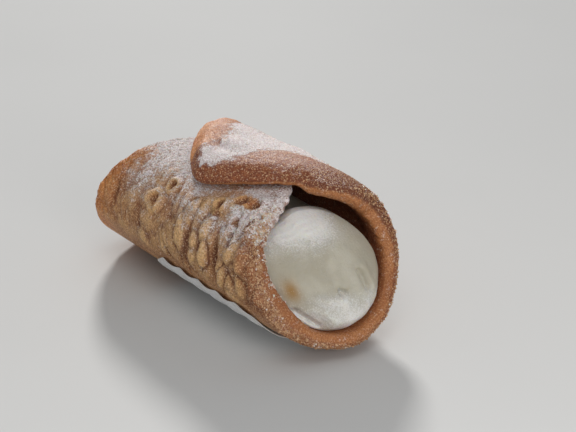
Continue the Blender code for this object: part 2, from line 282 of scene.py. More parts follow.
def rise(value, start, length):
    """0 up to the start and 1 a length past it."""
    return smooth((value - start) / length)


def fall(value, end, length):
    """0 from the end on and 1 a length short of it."""
    return smooth((end - value) / length)


def bell(distance, reach):
    """1 at no distance, and a little over a third at the reach."""
    return np.exp(-(distance / reach) ** 2)


def unit(value):
    """The value kept within 0..1."""
    return np.clip(value, 0.0, 1.0)


def disc(x, y):
    """A square of -1..1 both ways becomes the disc: along the roll, along the tube and to its edge."""
    size = np.maximum(np.abs(x), np.abs(y))
    safe = np.where(size < TINY, 1.0, size)
    curve = np.where(x > 0, CURVE_OUT, CURVE_IN)
    reach = np.where(x > 0, REACH_OUT, REACH_IN)
    mouth = np.where(y > 0, MOUTH_NEAR, MOUTH_FAR)
    stretch = 1.0 / (TINY + (np.abs(x) / safe) ** curve + (np.abs(y) / safe) ** curve) ** (1.0 / curve)
    s = x * stretch * reach
    v = y * stretch * mouth
    level = (np.abs(s) / reach) ** curve + (np.abs(v) / mouth) ** curve + TINY
    slope = level ** (1.0 / curve - 1.0)
    slope_s = (np.abs(s) / reach) ** (curve - 1.0) / reach * slope
    slope_v = (np.abs(v) / mouth) ** (curve - 1.0) / mouth * slope
    d = (1.0 - size) / (np.hypot(slope_s, slope_v) + TINIER)
    return s, v * fullness(s, v) + lean(s), d


def lean(s):
    """The flap's point leans towards the near mouth."""
    return LEAN * unit(s / REACH_OUT) ** 3


def fullness(s, v):
    """How much wider the flap and the tip are than a plain disc."""
    flap = np.where(v > 0, FULL_NEAR, FULL_FAR) * rise(s, FLAP_FULL_FROM, FULL_LENGTH)
    tip = FULL_TIP * (v > 0) * fall(s, TIP_FULL_FROM, FULL_LENGTH)
    return 1.0 + flap + tip


def flap_reach(v):
    """How far along the roll the flap goes at a place along the tube."""
    v = v - LEAN
    mouth = np.where(v > 0, MOUTH_NEAR * (1.0 + FULL_NEAR), MOUTH_FAR * (1.0 + FULL_FAR))
    return REACH_OUT * (1.0 - unit(np.abs(v / mouth)) ** CURVE_OUT) ** (1.0 / CURVE_OUT)


def inner_reach(v):
    """How far the other way the inner layer goes."""
    mouth = np.where(v > 0, MOUTH_NEAR * (1.0 + FULL_TIP), MOUTH_FAR)
    return REACH_IN * (1.0 - unit(np.abs(v / mouth)) ** CURVE_IN) ** (1.0 / CURVE_IN)


def open_to_view(s, v):
    """0 where the flap lies over the inner layer, 1 a few millimetres clear of it."""
    return rise(s + math.tau * TUBE_R, flap_reach(v), 4.0)


def clear_of_case(s):
    """0 where the shell stands in the paper, 1 a few millimetres above it."""
    return rise(np.abs(s - CASE_MID_S), CASE_HALF_S, 5.0)


def on_flap(s):
    """1 on the flap and 0 on the rest of the dough."""
    return rise(s, FLAP_FROM, FLAP_LENGTH)


def humps(s, v, table, sharp=GROOVE_SHARP):
    """Slanted oval bumps from a table, added up."""
    total = 0.0
    for s0, v0, half_s, half_v, slant, height in table:
        c, sn = math.cos(math.radians(slant)), math.sin(math.radians(slant))
        ds, dv = s - s0, v - v0
        along = (ds * c + dv * sn) / half_s
        across = (dv * c - ds * sn) / half_v
        total = total + height * np.exp(-(along ** 2 + across ** 2) ** sharp)
    return total


def craters(s, v):
    """Burst blisters: raised rings and their hollows, kept apart for colour: painted highlight on the rings,
    painted shade in the hollows.
    """
    ring = 0.0
    hollow = 0.0
    for s0, v0, radius, height, depth in CRATERS:
        bent = 1.0 + CRATER_BEND * np.sin(3.0 * np.arctan2(v - v0, s - s0) + s0)
        away = np.hypot((s - s0) * CRATER_FLAT, v - v0) / radius * bent
        ring = ring + height * bell(away - 1.0, RING_WIDTH)
        hollow = hollow + depth * np.exp(-((away / HOLLOW_WIDTH) ** 2) ** HOLLOW_SHARP)
    return ring, hollow


def blisters():
    """Seeded small blisters over the whole sheet, as rows of the large blisters' table."""
    rng = random.Random(144)
    rows = []
    for _ in range(BLISTER_COUNT):
        s = rng.uniform(*BLISTER_ROLL)
        v = rng.uniform(*BLISTER_TUBE)
        size = rng.uniform(*BLISTER_SIZE)
        long = size * rng.uniform(1.0, 2.0)
        slant = rng.uniform(-30, 30)
        rows.append((s, v, long, size, slant, size * rng.uniform(0.12, 0.30)))
    return rows


BLISTERS = blisters()


def folded(s, v):
    """How strongly the dough is folded: most on the near flank towards the mouth, less on the far one."""
    near = fall(s, -16.0, 5.0) * rise(s, -46.0, 9.0) * (0.44 + 0.56 * rise(v, -8.0, 16.0))
    return near + 0.45 * rise(s, 16.0, 5.0) * fall(s, 40.0, 10.0)


def fine(s, v, d):
    """Folds, lumps, grain and small blisters in millimetres, and how deep in the creases a place is, for
    their painted shade.
    """
    flank = folded(s, v)
    fold = np.abs(uneven(s * 0.34 + 0.5 * np.sin(v * 0.6), v, FOLDS))
    lump = np.abs(uneven(s * 0.6, v, LUMPS))
    # Painted shade along the folds' creases and between the lumps
    crease_shade = np.exp(-fold / 0.12) * flank + 0.12 * np.exp(-lump / 0.10) * (0.4 + 0.6 * flank)
    pillows = FOLD_HEIGHT * (FOLD_LEVEL - np.exp(-fold / 0.30)) * flank
    lumps = LUMP_HEIGHT * (LUMP_LEVEL - np.exp(-lump / 0.30)) * (0.45 + 0.55 * flank)
    grain = GRAIN_HEIGHT * uneven(s, v, GRAIN)
    ripple = np.sin(5.2 * (s - 0.35 * v) + 1.5 * np.sin(v * 0.9)) * humps(s, v, RIPPLES, BELL)
    rough = CRUST_HEIGHT + (CRUST_NEAR + CRUST_TIP * fall(s, -34.0, 8.0)) * (s < 0) * (v > 4.0)
    crust = rough * uneven(s, v, CRUST) * bell(d, 2.2)
    soft = pillows + lumps + grain + ripple + humps(s, v, BLISTERS, BLISTER_SHARP)
    return soft * rise(d, 0.0, 1.2) + crust, crease_shade


def relief(s, v, d):
    """Height of the fried surface over a plain tube, with its rings and hollows, and the painted shade of its
    creases and round the lobes' feet.
    """
    ring, hollow = craters(s, v)
    groove_and_shade = humps(s, v, GROOVES)
    lobes = humps(s, v, LOBES, LOBE_SHARP)
    # Painted shade round the feet of the large blisters
    lobe_foot_shade = bell(lobes - 0.14, 0.09) * (s < 0)
    skin = SWELL_HEIGHT * uneven(s * 0.6, v, SWELL) + LOBE_HEIGHT * lobes - GROOVE_HEIGHT * groove_and_shade
    skin = skin + RING_HEIGHT * ring - hollow
    shown = clear_of_case(s) * open_to_view(s, v)
    detail, crease_shade = fine(s, v, d)
    calm = 1.0 - 0.7 * unit(ring + hollow)
    height = skin * shown * rise(d, 0.0, 2.5) + detail * shown * calm * (0.70 + 0.30 * (s < 0))
    crease_shade = np.clip(crease_shade + 1.5 * groove_and_shade ** 1.5 + 0.55 * lobe_foot_shade, 0.0, 1.3) * shown
    return height, ring, hollow, crease_shade


def swell(s, v):
    """The near rim is thicker inwards at its lower left."""
    return RIM_SWELL * bell(s + 22.0, 10.0) * rise(v, 26.0, 6.0)


def droop(s, v, d):
    """The flap's free edge hangs a little over the near mouth."""
    free = rise(math.tau * TUBE_R - inner_reach(v) - s, 1.5, 4.0)
    return FLAP_DROOP * rise(s, 18.0, 20.0) * free * fall(d, 8.0, 5.0) * (v > 8.0)


def narrowing(v, angle):
    """How much the tube closes in towards the near mouth, more on its right side."""
    u = unit(v / MOUTH_NEAR)
    return MOUTH_NARROW * u ** 5 + SIDE_NARROW * u ** 2 * unit(np.sin(angle))


def stand(along, y, z):
    """Tilt a place on the level tube and move it into the frame."""
    c, sn = math.cos(TILT), math.sin(TILT)
    return np.stack([along * c - z * sn + SHIFT_X, y + SHIFT_Y, AXIS_Z + along * sn + z * c], -1)


def roll_up(s, v, h):
    """Roll the disc up: h is the height over the bare inner face of the tube."""
    angle = s / TUBE_R
    lift = LAP_RISE / (1.0 + np.exp(-(angle - LAP_ANGLE) / LAP_WIDTH))
    r = TUBE_R - WALL + lift + h - narrowing(v, angle)
    return stand(v, r * np.sin(angle + TURN), -r * np.cos(angle + TURN) * OVAL)


def ragged(s, v, d):
    """How far the disc's edge strays along the tube, more by the tip."""
    coarse = 0.30 * uneven(s, v * 0.3, RAGGED) * np.exp(-d / 1.6)
    torn = (0.26 + 0.30 * fall(s, -34.0, 8.0)) * uneven(s * 0.8, v * 0.4, LUMPS)
    return coarse + torn * np.exp(-d / 0.9) * (v > 0)


def dough(x, y, outer):
    """A point of the flat grid becomes a point on the shell's face, with what its colour needs."""
    s, v, d = disc(x, y)
    flap = on_flap(s)
    thick = WALL + FLAP_PUFF * flap * rise(d, 0.0, 3.0)
    low = -swell(s, v) - droop(s, v, d)
    middle = (WALL + low) * 0.5
    if outer:
        rounding = RIM_ROUND + (FLAP_ROUND - RIM_ROUND) * flap
    else:
        rounding = RIM_ROUND + 1.2 * flap
    turned = 1.0 - (1.0 - unit(d / rounding)) ** 2
    part = EDGE_LEFT + (1.0 - EDGE_LEFT) * np.sqrt(unit(turned))
    if outer:
        sink = SINK * (1.0 - open_to_view(s, v)) * (s < 0)
        height, ring, hollow, crease_shade = relief(s, v, d)
        h = middle + (thick - middle) * part + height - sink
    else:
        ring = hollow = crease_shade = np.zeros_like(s)
        height = 0.08 * uneven(s, v, LUMPS) + 0.04 * uneven(s, v, GRAIN)
        height = height + 0.30 * uneven(s, v, CRUST) * bell(d, 2.0)
        h = middle - (middle - low) * part + height * 0.7
    return roll_up(s, v + ragged(s, v, d) * np.sign(v), h), s, v, d, height, ring, hollow, crease_shade


def denser_ends(t):
    """Even steps over -1..1 get closer towards both ends, where the disc's edge is rounded."""
    t = t + 0.09 * np.sin(math.pi * t)
    e = 1.0 - np.abs(t)
    return np.sign(t) * (1.0 - e * (0.22 + 0.78 * smooth(e / 0.12)))


def grid(across, down):
    """Points of a square grid, its cells and its border in order."""
    rows = denser_ends(np.linspace(-1, 1, across + 1))
    columns = denser_ends(np.linspace(-1, 1, down + 1))
    gx, gy = np.meshgrid(rows, columns, indexing="ij")
    index = np.arange((across + 1) * (down + 1)).reshape(across + 1, down + 1)
    quads = np.stack([index[:-1, :-1], index[1:, :-1], index[1:, 1:], index[:-1, 1:]], -1).reshape(-1, 4)
    border = np.concatenate([index[:-1, 0], index[-1, :-1], index[:0:-1, -1], index[0, :0:-1]])
    return gx.ravel(), gy.ravel(), quads, border


def closed_rows(rows, around):
    """Cells between rows of points that each run round and close."""
    index = np.arange(rows * around).reshape(rows, around)
    following = np.roll(index, -1, axis=1)
    quads = np.stack([index[:-1], following[:-1], following[1:], index[1:]], -1).reshape(-1, 4)
    return index, quads


def new_object(name, points, faces, mat, smooth_shade=True):
    """A mesh object from points in millimetres and faces, in an array or a list of mixed ones."""
    if isinstance(faces, list):
        lengths = np.array([len(f) for f in faces], np.int32)
        corners = np.concatenate([np.asarray(f, np.int32) for f in faces])
    else:
        lengths = np.full(len(faces), faces.shape[1], np.int32)
        corners = faces.astype(np.int32).ravel()
    mesh = bpy.data.meshes.new(name)
    mesh.vertices.add(len(points))
    mesh.vertices.foreach_set("co", (np.asarray(points) * MM).astype(np.float32).ravel())
    mesh.loops.add(len(corners))
    mesh.loops.foreach_set("vertex_index", corners)
    mesh.polygons.add(len(lengths))
    starts = np.concatenate([[0], np.cumsum(lengths)[:-1]]).astype(np.int32)
    mesh.polygons.foreach_set("loop_start", starts)
    mesh.update(calc_edges=True)
    mesh.validate()
    if smooth_shade:
        mesh.shade_smooth()
    mesh.materials.append(mat)
    obj = bpy.data.objects.new(name, mesh)
    bpy.context.scene.collection.objects.link(obj)
    return obj


def add_attribute(obj, name, values):
    """A number for each point, which the shader reads by name."""
    layer = obj.data.attributes.new(name, "FLOAT", "POINT")
    layer.data.foreach_set("value", np.asarray(values, np.float32))


class Shader:
    """A material whose nodes are made by short calls."""

    def __init__(self, name, roughness):
        self.mat = bpy.data.materials.new(name)
        self.mat.use_nodes = True
        self.tree = self.mat.node_tree
        self.main = self.tree.nodes["Principled BSDF"]
        self.main.inputs["Roughness"].default_value = roughness
        self.coords = self.tree.nodes.new("ShaderNodeTexCoord").outputs["Object"]

    def put(self, socket, value):
        if isinstance(value, bpy.types.NodeSocket):
            self.tree.links.new(value, socket)
        elif isinstance(value, tuple) and len(value) == 3 and socket.type == "RGBA":
            socket.default_value = (*value, 1.0)
        else:
            socket.default_value = value

    def attr(self, name):
        node = self.tree.nodes.new("ShaderNodeAttribute")
        node.attribute_name = name
        return node.outputs["Fac"]

    def noise(self, size_mm, detail=3.0, rough=0.55, twist=0.0):
        node = self.tree.nodes.new("ShaderNodeTexNoise")
        self.put(node.inputs["Vector"], self.coords)
        node.inputs["Scale"].default_value = 1.0 / (size_mm * MM)
        node.inputs["Detail"].default_value = detail
        node.inputs["Roughness"].default_value = rough
        node.inputs["Distortion"].default_value = twist
        return node.outputs["Fac"]

    def math(self, kind, a, b):
        node = self.tree.nodes.new("ShaderNodeMath")
        node.operation = kind
        self.put(node.inputs[0], a)
        self.put(node.inputs[1], b)
        return node.outputs[0]

    def step(self, value, low, high, out_low=0.0, out_high=1.0):
        node = self.tree.nodes.new("ShaderNodeMapRange")
        node.interpolation_type = "SMOOTHSTEP"
        self.put(node.inputs["Value"], value)
        self.put(node.inputs["From Min"], low)
        self.put(node.inputs["From Max"], high)
        node.inputs["To Min"].default_value = out_low
        node.inputs["To Max"].default_value = out_high
        return node.outputs[0]

    def mix(self, share, a, b):
        node = self.tree.nodes.new("ShaderNodeMix")
        node.data_type = "RGBA"
        self.put(node.inputs["Factor"], share)
        self.put(node.inputs["A"], a)
        self.put(node.inputs["B"], b)
        return node.outputs["Result"]

    def bump(self, height, strength, distance_mm, under=None):
        node = self.tree.nodes.new("ShaderNodeBump")
        self.put(node.inputs["Height"], height)
        node.inputs["Strength"].default_value = strength
        node.inputs["Distance"].default_value = distance_mm * MM
        if under is not None:
            self.put(node.inputs["Normal"], under)
        return node.outputs["Normal"]

    def set(self, name, value):
        self.put(self.main.inputs[name], value)

    def glow(self, weight, radius, scale_mm):
        """Light that goes a little way into the material."""
        self.set("Subsurface Weight", weight)
        self.set("Subsurface Radius", radius)
        self.set("Subsurface Scale", scale_mm * MM)


# Colours, as linear red, green and blue
TAN_DARK = (0.400, 0.165, 0.060)
TAN_LIGHT = (0.600, 0.295, 0.115)
TAN_SPECK = (0.280, 0.090, 0.034)
# Pale gold on raised blisters and crater rings: partly the dough's own paler gold, partly painted highlight
RIDGE_GOLD_HIGHLIGHT = (0.880, 0.550, 0.235)
BAND_DARK = (0.225, 0.054, 0.019)
BAND_LIGHT = (0.365, 0.110, 0.038)
BAND_BLOTCH = (0.250, 0.062, 0.026)
TOAST_DARK = (0.560, 0.165, 0.038)
TOAST_LIGHT = (0.740, 0.290, 0.078)
# The bore's dough colour, painted dark as shade
BORE_SHADE_DARK = (0.175, 0.043, 0.017)
BORE_SHADE_LIGHT = (0.280, 0.078, 0.030)
LIP_BROWN = (0.480, 0.175, 0.048)
# Painted shade: creases, grooves, hollows, cracks, low places, the flap's underside and the bore's wall under
# it
GROOVE_SHADE_BROWN = (0.140, 0.034, 0.013)
# Painted glints of sugar crystals
GRIT_GLINT = (0.960, 0.640, 0.350)
GRIT_DARK = (0.170, 0.048, 0.020)
POWDER_SHADE = (0.640, 0.535, 0.520)
POWDER_LIGHT = (0.940, 0.890, 0.885)
CREAM_DARK = (0.470, 0.432, 0.340)
CREAM_LIGHT = (0.560, 0.525, 0.430)
PEEL_ORANGE = (0.390, 0.220, 0.060)
# White of the sugar on the cream, also used as painted highlight at its top left
CREAM_SUGAR_AND_HIGHLIGHT = (0.980, 0.975, 0.965)
SUGAR_SHADE = (0.600, 0.390, 0.270)
SUGAR_LIGHT = (0.880, 0.810, 0.770)
CRUMB_DARK = (0.420, 0.190, 0.075)
CRUMB_LIGHT = (0.740, 0.490, 0.290)
PAPER_SHADE = (0.800, 0.800, 0.795)
PAPER_LIGHT = (0.880, 0.880, 0.875)
PLATE_SHADE = (0.600, 0.600, 0.595)
PLATE_LIGHT = (0.630, 0.630, 0.624)


def bare_dough(m, blotch, speck):
    """Blistered tan dough with its ridges painted paler gold, partly as highlight, the flap's darker band,
    the toasted far edge, the bore painted dark as shade, and painted shade in the creases, hollows and under
    the flap.
    """
    tan = m.mix(m.step(blotch, 0.36, 0.66), TAN_DARK, TAN_LIGHT)
    tan = m.mix(m.step(speck, 0.45, 0.72, 0.0, 0.6), tan, TAN_SPECK)
    # Raised places are painted paler gold, partly as painted highlight
    ridge_gold_and_highlight = m.math("MULTIPLY", m.attr("ridge_gold_and_highlight"), m.step(speck, 0.25, 0.6, 0.4, 0.9))
    tan = m.mix(ridge_gold_and_highlight, tan, RIDGE_GOLD_HIGHLIGHT)
    band = m.mix(m.step(speck, 0.35, 0.68), BAND_DARK, BAND_LIGHT)
    band = m.mix(m.step(m.noise(2.0, 4.0), 0.48, 0.72, 0.0, 0.7), band, BAND_BLOTCH)
    colour = m.mix(m.attr("band"), tan, band)
    toast = m.mix(m.step(blotch, 0.35, 0.65), TOAST_DARK, TOAST_LIGHT)
    colour = m.mix(m.attr("toast"), colour, toast)
    # The bore is painted dark as shade, lighter orange along its rim
    inside = m.mix(m.step(speck, 0.35, 0.65), BORE_SHADE_DARK, BORE_SHADE_LIGHT)
    inside = m.mix(m.attr("lip"), inside, LIP_BROWN)
    colour = m.mix(m.attr("inside"), colour, inside)
    # Painted shade: creases, grooves, hollows and shaded places are darkened
    return m.mix(m.attr("groove_and_shade"), colour, GROOVE_SHADE_BROWN)


def glints_and_specks(m, colour, grit):
    """Painted glints of sugar crystals, fewer in the shaded bore, and fine dark specks."""
    shown = m.step(m.attr("inside"), 0.0, 1.0, 1.0, 0.35)
    sparkle = m.math("MULTIPLY", m.step(grit, 0.53, 0.64, 0.0, 0.60), shown)
    colour = m.mix(sparkle, colour, GRIT_GLINT)
    return m.mix(m.step(grit, 0.48, 0.36, 0.0, 0.50), colour, GRIT_DARK)


def sugar_film(m, grit):
    """Share of the dough that powdered sugar hides: flecks where it is thin, a veil where it is thick."""
    dust = m.attr("dust")
    fleck = m.math("ADD", m.math("MULTIPLY", grit, 0.45), m.math("MULTIPLY", m.noise(1.1, 5.0, 0.65), 0.55))
    edge = m.math("SUBTRACT", 1.0, dust)
    low = m.math("SUBTRACT", edge, 0.20)
    high = m.math("ADD", edge, 0.12)
    powder = m.step(m.step(fleck, 0.34, 0.66), low, high)
    powder = m.math("MULTIPLY", powder, m.step(dust, 0.0, 0.50, 0.28, 0.97))
    return m.math("MAXIMUM", powder, m.step(dust, 0.02, 1.0, 0.0, 0.82))


def dough_material():
    m = Shader("fried_dough", 0.62)
    blotch = m.noise(4.0, 4.0, 0.6, 0.6)
    speck = m.noise(0.8, 5.0, 0.65)
    grit = m.noise(0.30, 3.0, 0.6)
    film = sugar_film(m, grit)
    colour = glints_and_specks(m, bare_dough(m, blotch, speck), grit)
    powder = m.mix(m.step(grit, 0.35, 0.65), POWDER_SHADE, POWDER_LIGHT)
    m.set("Base Color", m.mix(film, colour, powder))
    rough = m.step(speck, 0.3, 0.7, 0.44, 0.64)
    m.set("Roughness", m.math("ADD", m.math("MULTIPLY", film, 0.28), rough))
    m.set("Specular IOR Level", 0.42)
    m.glow(0.10, (1.0, 0.45, 0.2), 0.9)
    coarse = m.bump(speck, 0.8, 0.40)
    m.set("Normal", m.bump(grit, 0.8, 0.16, m.bump(film, 0.5, 0.14, coarse)))
    return m.mat


def cream_material():
    m = Shader("cream", 0.55)
    soft = m.noise(6.0, 3.0)
    fineness = m.noise(0.5, 4.0, 0.6)
    colour = m.mix(m.step(soft, 0.35, 0.65), CREAM_DARK, CREAM_LIGHT)
    colour = m.mix(m.attr("peel"), colour, PEEL_ORANGE)
    # Sugar powder on the cream, whitened further at its top left as painted highlight
    dust = m.attr("dust")
    edge = m.math("SUBTRACT", 1.0, m.math("MULTIPLY", dust, 0.8))
    low = m.math("SUBTRACT", edge, 0.34)
    high = m.math("ADD", edge, 0.14)
    powder = m.step(m.noise(0.30, 4.0, 0.65), low, high)
    veil = m.step(dust, 0.1, 1.0, 0.0, 0.62)
    film = m.math("MAXIMUM", m.math("MULTIPLY", powder, 0.72), veil)
    m.set("Base Color", m.mix(film, colour, CREAM_SUGAR_AND_HIGHLIGHT))
    m.set("Roughness", m.step(fineness, 0.3, 0.7, 0.46, 0.66))
    m.glow(0.55, (1.0, 0.8, 0.55), 0.8)
    m.set("Coat Weight", 0.04)
    m.set("Coat Roughness", 0.35)
    m.set("Normal", m.bump(powder, 0.8, 0.12, m.bump(fineness, 0.8, 0.20)))
    return m.mat


def sugar_material():
    m = Shader("sugar", 0.42)
    m.set("Base Color", m.mix(m.step(m.noise(0.7, 3.0), 0.35, 0.65), SUGAR_SHADE, SUGAR_LIGHT))
    m.glow(0.25, (1.0, 0.2, 0.1), 0.4)
    m.set("Specular IOR Level", 0.6)
    return m.mat


def crumb_material():
    m = Shader("crumb", 0.6)
    m.set("Base Color", m.mix(m.step(m.noise(0.9, 3.0), 0.35, 0.65), CRUMB_DARK, CRUMB_LIGHT))
    m.set("Normal", m.bump(m.noise(0.2, 3.0), 0.5, 0.06))
    return m.mat


def paper_material():
    m = Shader("paper", 0.72)
    fibre = m.noise(0.35, 4.0, 0.7)
    m.set("Base Color", m.mix(m.noise(3.0, 3.0), PAPER_SHADE, PAPER_LIGHT))
    m.glow(0.35, (1.0, 0.95, 0.9), 0.6)
    m.set("Normal", m.bump(fibre, 0.25, 0.05))
    return m.mat


def plate_material():
    m = Shader("plate", 0.70)
    m.set("Base Color", m.mix(m.noise(60.0, 2.0), PLATE_SHADE, PLATE_LIGHT))
    m.set("Specular IOR Level", 0.15)
    return m.mat


def normals_of(points, quads):
    """Normals at the points, from the cells around them."""
    a = points[quads[:, 2]] - points[quads[:, 0]]
    b = points[quads[:, 3]] - points[quads[:, 1]]
    n = np.cross(a, b)
    total = np.zeros_like(points)
    for k in range(4):
        np.add.at(total, quads[:, k], n)
    return total / (np.linalg.norm(total, axis=1, keepdims=True) + TINIER)


def flank_dust(s, v, up, bumps, patches):
    """Powdered sugar on the near side and the tip: thick high on the flank by the seam, thin below."""
    high = fall(s, -29.0, 16.0) * rise(up, -0.25, 0.75)
    share = 0.07 * rise(up, -0.3, 0.8) + (0.34 + 0.20 * patches) * high + 0.12 * bumps
    share = share + humps(s, v, SUGAR_SPOTS, BELL)
    share = share + 0.28 * fall(s, -42.0, 6.0) * fall(v, -12.0, 6.0)
    share = share - 0.25 * fall(s, -47.0, 4.0) * rise(v, -4.0, 6.0) * fall(v, 16.0, 4.0)
    return share - 0.40 * rise(v, 26.5, 3.0) * rise(s, -43.0, 5.0)


def flap_dust(s, v, d, up, bumps, patches):
    """Powdered sugar on top of the flap, with an uneven bare band along its edge."""
    bare = 6.0 - 2.8 * rise(s, 46.0, 8.0)
    stray = 2.2 * patches + 1.6 * bumps + 0.9 * uneven(s, v, CRUST)
    clear = rise(d + stray, bare, 2.2)
    thick = (0.90 + 0.22 * patches) * clear * rise(up, -0.05, 0.70)
    return (0.01 + thick) * rise(s, 4.0, 16.0)


def dust_share(s, v, d, up, height):
    """How much powdered sugar lies at a place on the outer face."""
    patches = uneven(s * 0.8, v, PATCHES)
    bumps = np.clip(height, -0.8, 0.8)
    over = flap_dust(s, v, d, up, bumps, patches)
    return unit(np.where(s > 0, over, flank_dust(s, v, up, bumps, patches)))


def outer_looks(s, v, d, height, ring, hollow, crease_shade, up):
    """What the shell's colour needs on the outer face, by name."""
    flap = on_flap(s)
    lip = fall(d, 4.6, 2.8) * rise(v, 8.0, 8.0) * (s < 10.0)
    band = unit(flap * fall(d, FLAP_ROUND + 3.5, 3.0) + 0.60 * lip)
    # Raised blisters and the rings of burst ones are painted paler gold: partly their own colour, partly
    # painted highlight
    ridge_gold_and_highlight = unit(height * 1.1 + 0.02) * (s < 0) * (1.0 - 0.6 * lip) + 1.5 * ring * (1.0 - unit(hollow))
    # Painted shade: the flap is darker where it faces down and on its right side by the near mouth
    side = 0.66 * rise(v, 16.0, 12.0) * fall(d, 8.0, 3.0)
    shade = rise(s, 20.0, 14.0) * (0.55 * fall(up, 0.65, 0.8) + side)
    # Painted shade in creases, grooves, round the lobes' feet, in low places and in the hollows of burst
    # blisters
    groove_and_shade = np.clip(0.80 * crease_shade + 0.45 * unit(-height - 0.15), 0.0, 0.85)
    groove_and_shade = np.clip(groove_and_shade * (1.0 - 0.5 * flap) + shade + 0.95 * unit(hollow), 0.0, 0.95)
    # Cracks in the sugar by the tip: bare of sugar, and darkened as painted shade
    gaps = np.exp(-np.abs(uneven(s, v, CRUST)) / 0.16) * bell(d, 2.8) * fall(s, -28.0, 8.0) * (v > 8.0)
    golden = humps(s, v, GOLDEN_PIT)
    toast = (0.98 * bell(d, 5.4) + 0.15 * fall(v, -12.0, 12.0)) * (v < 0) * (1.0 - 0.8 * fall(s, -40.0, 9.0))
    toast = toast + 0.75 * golden
    dust = dust_share(s, v, d, up, height) * (1.0 - 0.9 * unit(toast)) - 0.9 * hollow - 0.12 * ring
    dust = dust - 0.7 * crease_shade * (s < -38.0) - 0.5 * golden - 0.9 * gaps
    edge_line = bell(d, 1.2) * (s < -4.0) * rise(v, 6.0, 8.0) * rise(up, -1.0, 0.8)
    dust = dust + (0.14 + 0.52 * fall(s, -34.0, 8.0)) * edge_line
    # Painted shade: the flap's rounded rim by the near mouth takes the bore's dark colour
    front = 0.70 * fall(d, 3.4, 2.0) * rise(s, 4.0, 8.0) * fall(s, 40.0, 10.0) * (v > 8.0)
    return {
        "ridge_gold_and_highlight": unit(ridge_gold_and_highlight),
        "groove_and_shade": np.clip(groove_and_shade + 0.6 * gaps, 0.0, 0.95),
        "band": band,
        "toast": unit(toast),
        "inside": front,
        "lip": np.zeros(len(s)),
        "dust": unit(dust),
    }


def inner_looks(s, v, d):
    """The same for the inner face."""
    zero = np.zeros(len(s))
    low = bell(s + 3.0, 13.0)
    lip = bell(d, 1.8) * (0.45 + 0.5 * rise(s, 14.0, 8.0)) + 0.8 * low * bell(d, 4.5)
    lip = lip * rise(v, 4.0, 8.0)
    return {
        "ridge_gold_and_highlight": zero,
        # Painted shade on the bore's wall under the flap, darker away from the rim
        "groove_and_shade": 0.30 * rise(s, 6.0, 8.0) * fall(s, 36.0, 8.0) * rise(d, 1.0, 3.0),
        "band": zero,
        "toast": bell(d, 2.0) * (v < 0) * 0.9,
        # The whole bore takes the dark bore colour, as painted shade
        "inside": np.maximum(smooth(d), 0.85),
        "lip": lip,
        "dust": 0.10 * lip + 0.45 * bell(d, 1.0) * fall(s, -36.0, 8.0) * (v > 5.0),
    }


def stitch(border, border_in):
    """Triangles between the outer face's border and the inner one's, which has half as many points."""
    first = border[0::2]
    middle = border[1::2]
    last = np.roll(border, -2)[0::2]
    next_in = np.roll(border_in, -1)
    rows = ((first, border_in, middle), (middle, border_in, next_in), (middle, next_in, last))
    return np.concatenate([np.stack(row, -1) for row in rows])


def make_shell(mat):
    gx, gy, quads, border = grid(CELLS_ROLL, CELLS_TUBE)
    outer, s, v, d, height, ring, hollow, crease_shade = dough(gx, gy, True)
    hx, hy, quads_in, border_in = grid(CELLS_ROLL // 2, CELLS_TUBE // 2)
    inner, s_in, v_in, d_in = dough(hx, hy, False)[:4]
    up = normals_of(outer, quads)[:, 2]
    count = len(outer)
    faces = quads.tolist() + (quads_in[:, ::-1] + count).tolist() + stitch(border, border_in + count).tolist()
    shell = new_object("shell_crust", np.concatenate([outer, inner]), faces, mat)
    outside = outer_looks(s, v, d, height, ring, hollow, crease_shade, up)
    inside = inner_looks(s_in, v_in, d_in)
    for name in outside:
        add_attribute(shell, name, np.concatenate([outside[name], inside[name]]))
    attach(shell, "root")
    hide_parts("shell")


def stroke(y, z, ends, width):
    """1 along a short line on the cream's face, falling off beside it."""
    y0, z0, y1, z1 = ends
    dy, dz = y1 - y0, z1 - z0
    t = unit(((y - y0) * dy + (z - z0) * dz) / (dy * dy + dz * dz))
    return np.exp(-((y - y0 - t * dy) ** 2 + (z - z0 - t * dz) ** 2) / width ** 2)


def cream_front(y, z):
    """Relief of the near face: its strokes, and fine brush marks at the top."""
    marks = np.sin(9.0 * (z - 0.25 * y) + 1.8 * np.sin(1.3 * y))
    total = BRUSHED_HEIGHT * marks * stroke(y, z, BRUSHED, BRUSHED_WIDTH)
    for ends, width, height in CREAM_STROKES:
        total = total + height * stroke(y, z, ends, width)
    return total


def cream_length(share, turn):
    """How far the near and the far face reach along the tube, sloping out at the bottom."""
    low = np.cos(turn)
    near_dome = CREAM_DOME_NEAR * (1.0 - share ** (3.2 + 3.0 * smooth(low)))
    far_dome = CREAM_DOME_FAR * (1.0 - share ** 2.4)
    near = CREAM_NEAR + CREAM_SLOPE_NEAR * share * low + near_dome
    return near, CREAM_FAR + CREAM_SLOPE_FAR * share * low + far_dome


def cream_radius(along, turn):
    """Radius of the filling, which stays clear of the dough and is pinched at its upper right."""
    pinch = CREAM_PINCH * unit(along / MOUTH_NEAR) * bell(turn - 2.05, 0.45)
    s = np.where(turn > math.pi * 0.5, turn - math.tau, turn) * TUBE_R
    return TUBE_R - WALL - CREAM_CLEAR - narrowing(along, turn) - pinch - swell(s, along + 1.0)


def cream_sugar_and_highlight(y, z, along):
    """Powdered sugar on the cream, made whitest at its top left as painted highlight: most there, less at its
    bottom, on the shelf and on the lip.
    """
    dust = 0.14 + 0.34 * stroke(y, z, CREAM_SHELF, 1.4) + 0.30 * stroke(y, z, TURNED_LIP, 1.0)
    dust = dust + 0.92 * rise(z, 2.0, 6.5) * fall(y, 10.0, 10.0) + 0.48 * fall(z, -2.0, 5.0)
    dust = dust + 0.10 * uneven(y, z, PATCHES) + 0.05 * uneven(y, z, LUMPS)
    return unit(dust) * (rise(along, 12.0, 8.0) + 0.5 * (along < -12.0))


